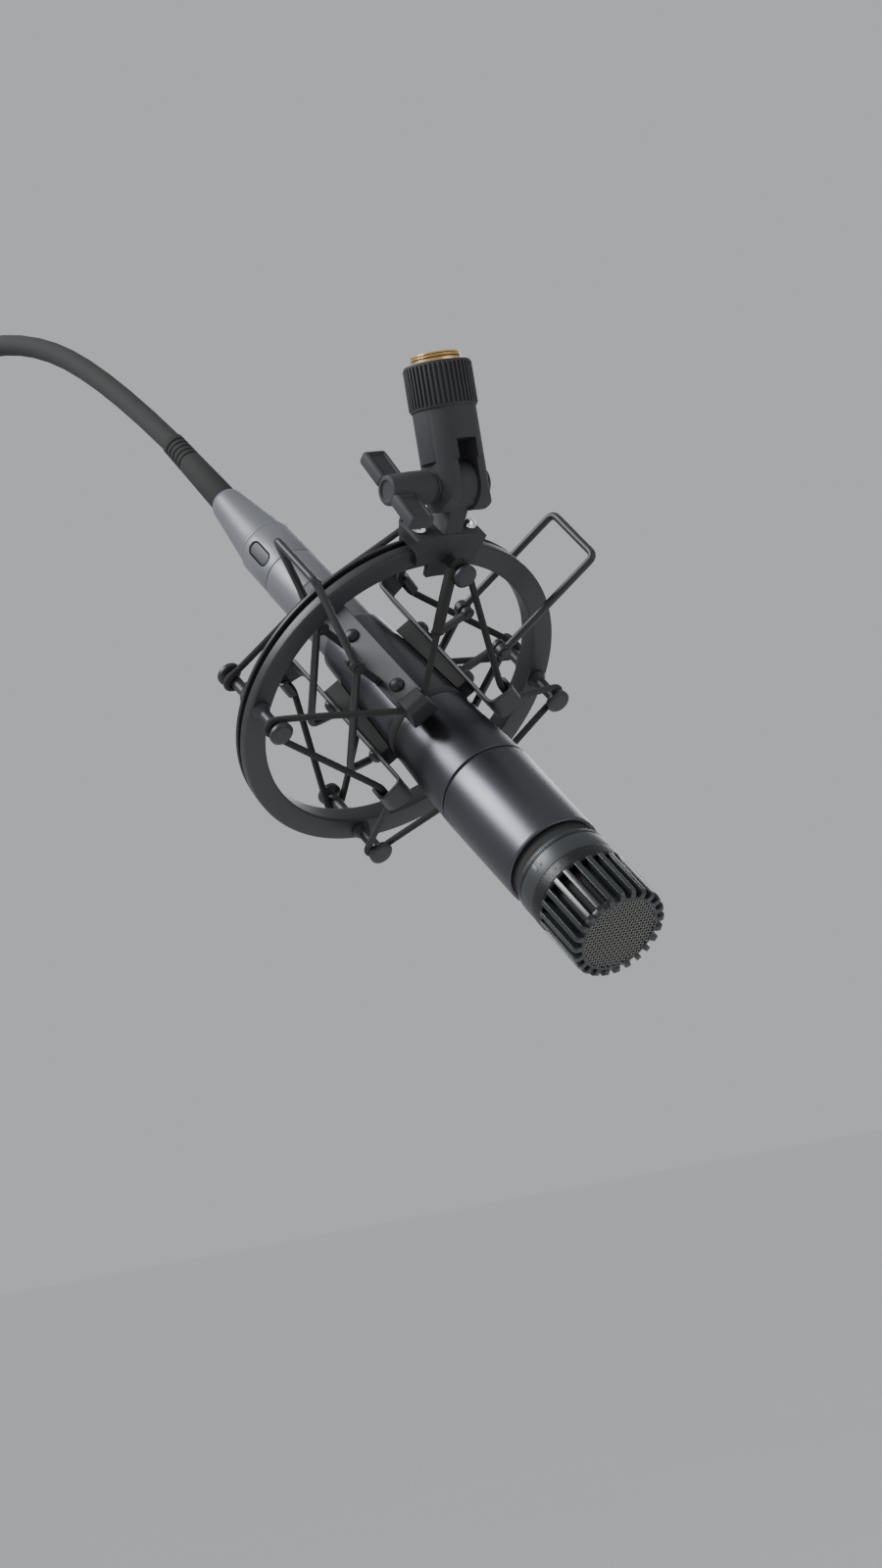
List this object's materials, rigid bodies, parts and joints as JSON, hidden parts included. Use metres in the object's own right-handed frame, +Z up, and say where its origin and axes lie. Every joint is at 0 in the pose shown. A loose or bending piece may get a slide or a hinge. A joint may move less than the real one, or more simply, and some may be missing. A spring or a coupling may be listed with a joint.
{
  "type": "microphone with shock mount",
  "caption": "Handheld moving-coil microphone with slotted end grille, held in a ring shock mount by elastic cord, on a tilting threaded stem, with its cable.",
  "frame": {"origin": "centre of the mouth of the stand thread at the top of the stem", "axes": "+Z up along the stem; the swivel turns about X; the microphone points towards -Y and down; the wing screw is on the -X side"},
  "size_m": [0.1336, 0.3951, 0.2648],
  "materials": {
    "brass": "dull machined",
    "black_plastic": "fine moulded grain",
    "black_steel": "satin black",
    "chrome": "bright",
    "enamel": "satin charcoal enamel",
    "cage": "gloss black moulding",
    "mesh": "woven wire",
    "band": "satin",
    "rubber": "matt",
    "elastic": "braided",
    "foam": "open cell",
    "plug_metal": "satin nickel, blackened",
    "insert": "moulded",
    "contact": "plated",
    "winding": "enamelled wire",
    "cable": "satin jacket",
    "inner_metal": "plain"
  },
  "bodies": {
    "stem": {"thread_adapter": "brass", "stem_body": "black_plastic", "knurled_collar": "black_plastic", "pivot_bolt": "black_steel", "pivot_washers": "black_plastic"},
    "wing": {"wing_screw": "black_plastic"},
    "yoke": {"swivel_tongue": "black_plastic", "saddle_screws": "chrome", "shock_ring": "black_steel", "ring_posts": "black_plastic", "front_elastic": "elastic", "rear_elastic": "elastic", "elastic_sleeve": "rubber"},
    "lever_left": {"lower_left_plate": "black_steel", "lower_left_pad": "rubber", "lower_left_rivets": "black_steel", "left_handle_wire": "black_steel"},
    "lever_right": {"lower_right_plate": "black_steel", "lower_right_pad": "rubber", "lower_right_rivets": "black_steel", "right_handle_wire": "black_steel"},
    "head": {"grille_cage": "cage", "grille_mesh": "mesh", "grille_foam": "foam", "label_band": "band", "knurled_ring": "band"},
    "latch": {"plug_latch": "plug_metal"},
    "clip": {"upper_left_plate": "black_steel", "upper_right_plate": "black_steel", "upper_left_pad": "rubber", "upper_right_pad": "rubber", "upper_plate_rivets": "black_steel", "hinge_lugs": "black_steel", "hinge_pins": "black_steel", "cartridge_collar": "rubber", "cartridge_shell": "inner_metal", "diaphragm": "insert", "voice_coil": "winding", "pole_piece": "inner_metal", "magnet": "inner_metal", "cartridge_isolator": "rubber", "front_housing": "enamel", "seam_o_ring": "rubber", "rear_handle": "enamel", "handle_band": "rubber", "transformer": "winding", "xlr_insert": "insert", "xlr_pins": "contact", "insert_screw": "black_steel", "plug_shell": "plug_metal", "plug_contacts": "insert", "plug_bushing": "plug_metal", "strain_relief": "rubber", "cord_run": "cable", "cord_coil": "cable", "cord_tail": "cable", "cord_tie": "elastic", "far_plug_shell": "plug_metal", "far_plug_contacts": "contact", "far_plug_bushing": "rubber"}
  },
  "joints": [
    {"name": "swivel_tilt", "type": "hinge", "parent": "stem", "child": "yoke", "pos_m": [0, 0, -0.0405], "axis": [1, 0, 0], "range_deg": [-130, 45]},
    {"name": "wing_turn", "type": "hinge", "parent": "stem", "child": "wing", "pos_m": [-0.02, 0, -0.0405], "axis": [1, 0, 0], "continuous": true},
    {"name": "suspension", "type": "slide", "parent": "yoke", "child": "clip", "axis": [0, -0.7373, -0.6756], "range_m": [-0.004, 0.004], "stiffness_N_per_m": 2600, "springref_m": -0.0016, "deforming": ["front_elastic", "rear_elastic", "elastic_sleeve"]},
    {"name": "squeeze_left", "type": "hinge", "parent": "clip", "child": "lever_left", "pos_m": [-0.0275, 0.03783, -0.08179], "axis": [0, 0.7373, 0.6756], "range_deg": [0, 14], "stiffness_Nm_per_rad": 0.5, "springref_deg": -22.92},
    {"name": "squeeze_right", "type": "hinge", "parent": "clip", "child": "lever_right", "pos_m": [0.0275, 0.03783, -0.08179], "axis": [0, -0.7373, -0.6756], "range_deg": [0, 14], "stiffness_Nm_per_rad": 0.5, "springref_deg": -22.92},
    {"name": "head_turn", "type": "hinge", "parent": "clip", "child": "head", "pos_m": [0, -0.03043, -0.17011], "axis": [0, -0.7373, -0.6756], "continuous": true},
    {"name": "latch_press", "type": "slide", "parent": "clip", "child": "latch", "axis": [0.9272, 0.2531, -0.2762], "range_m": [0, 0.0012], "stiffness_N_per_m": 400, "springref_m": -0.001}
  ]
}
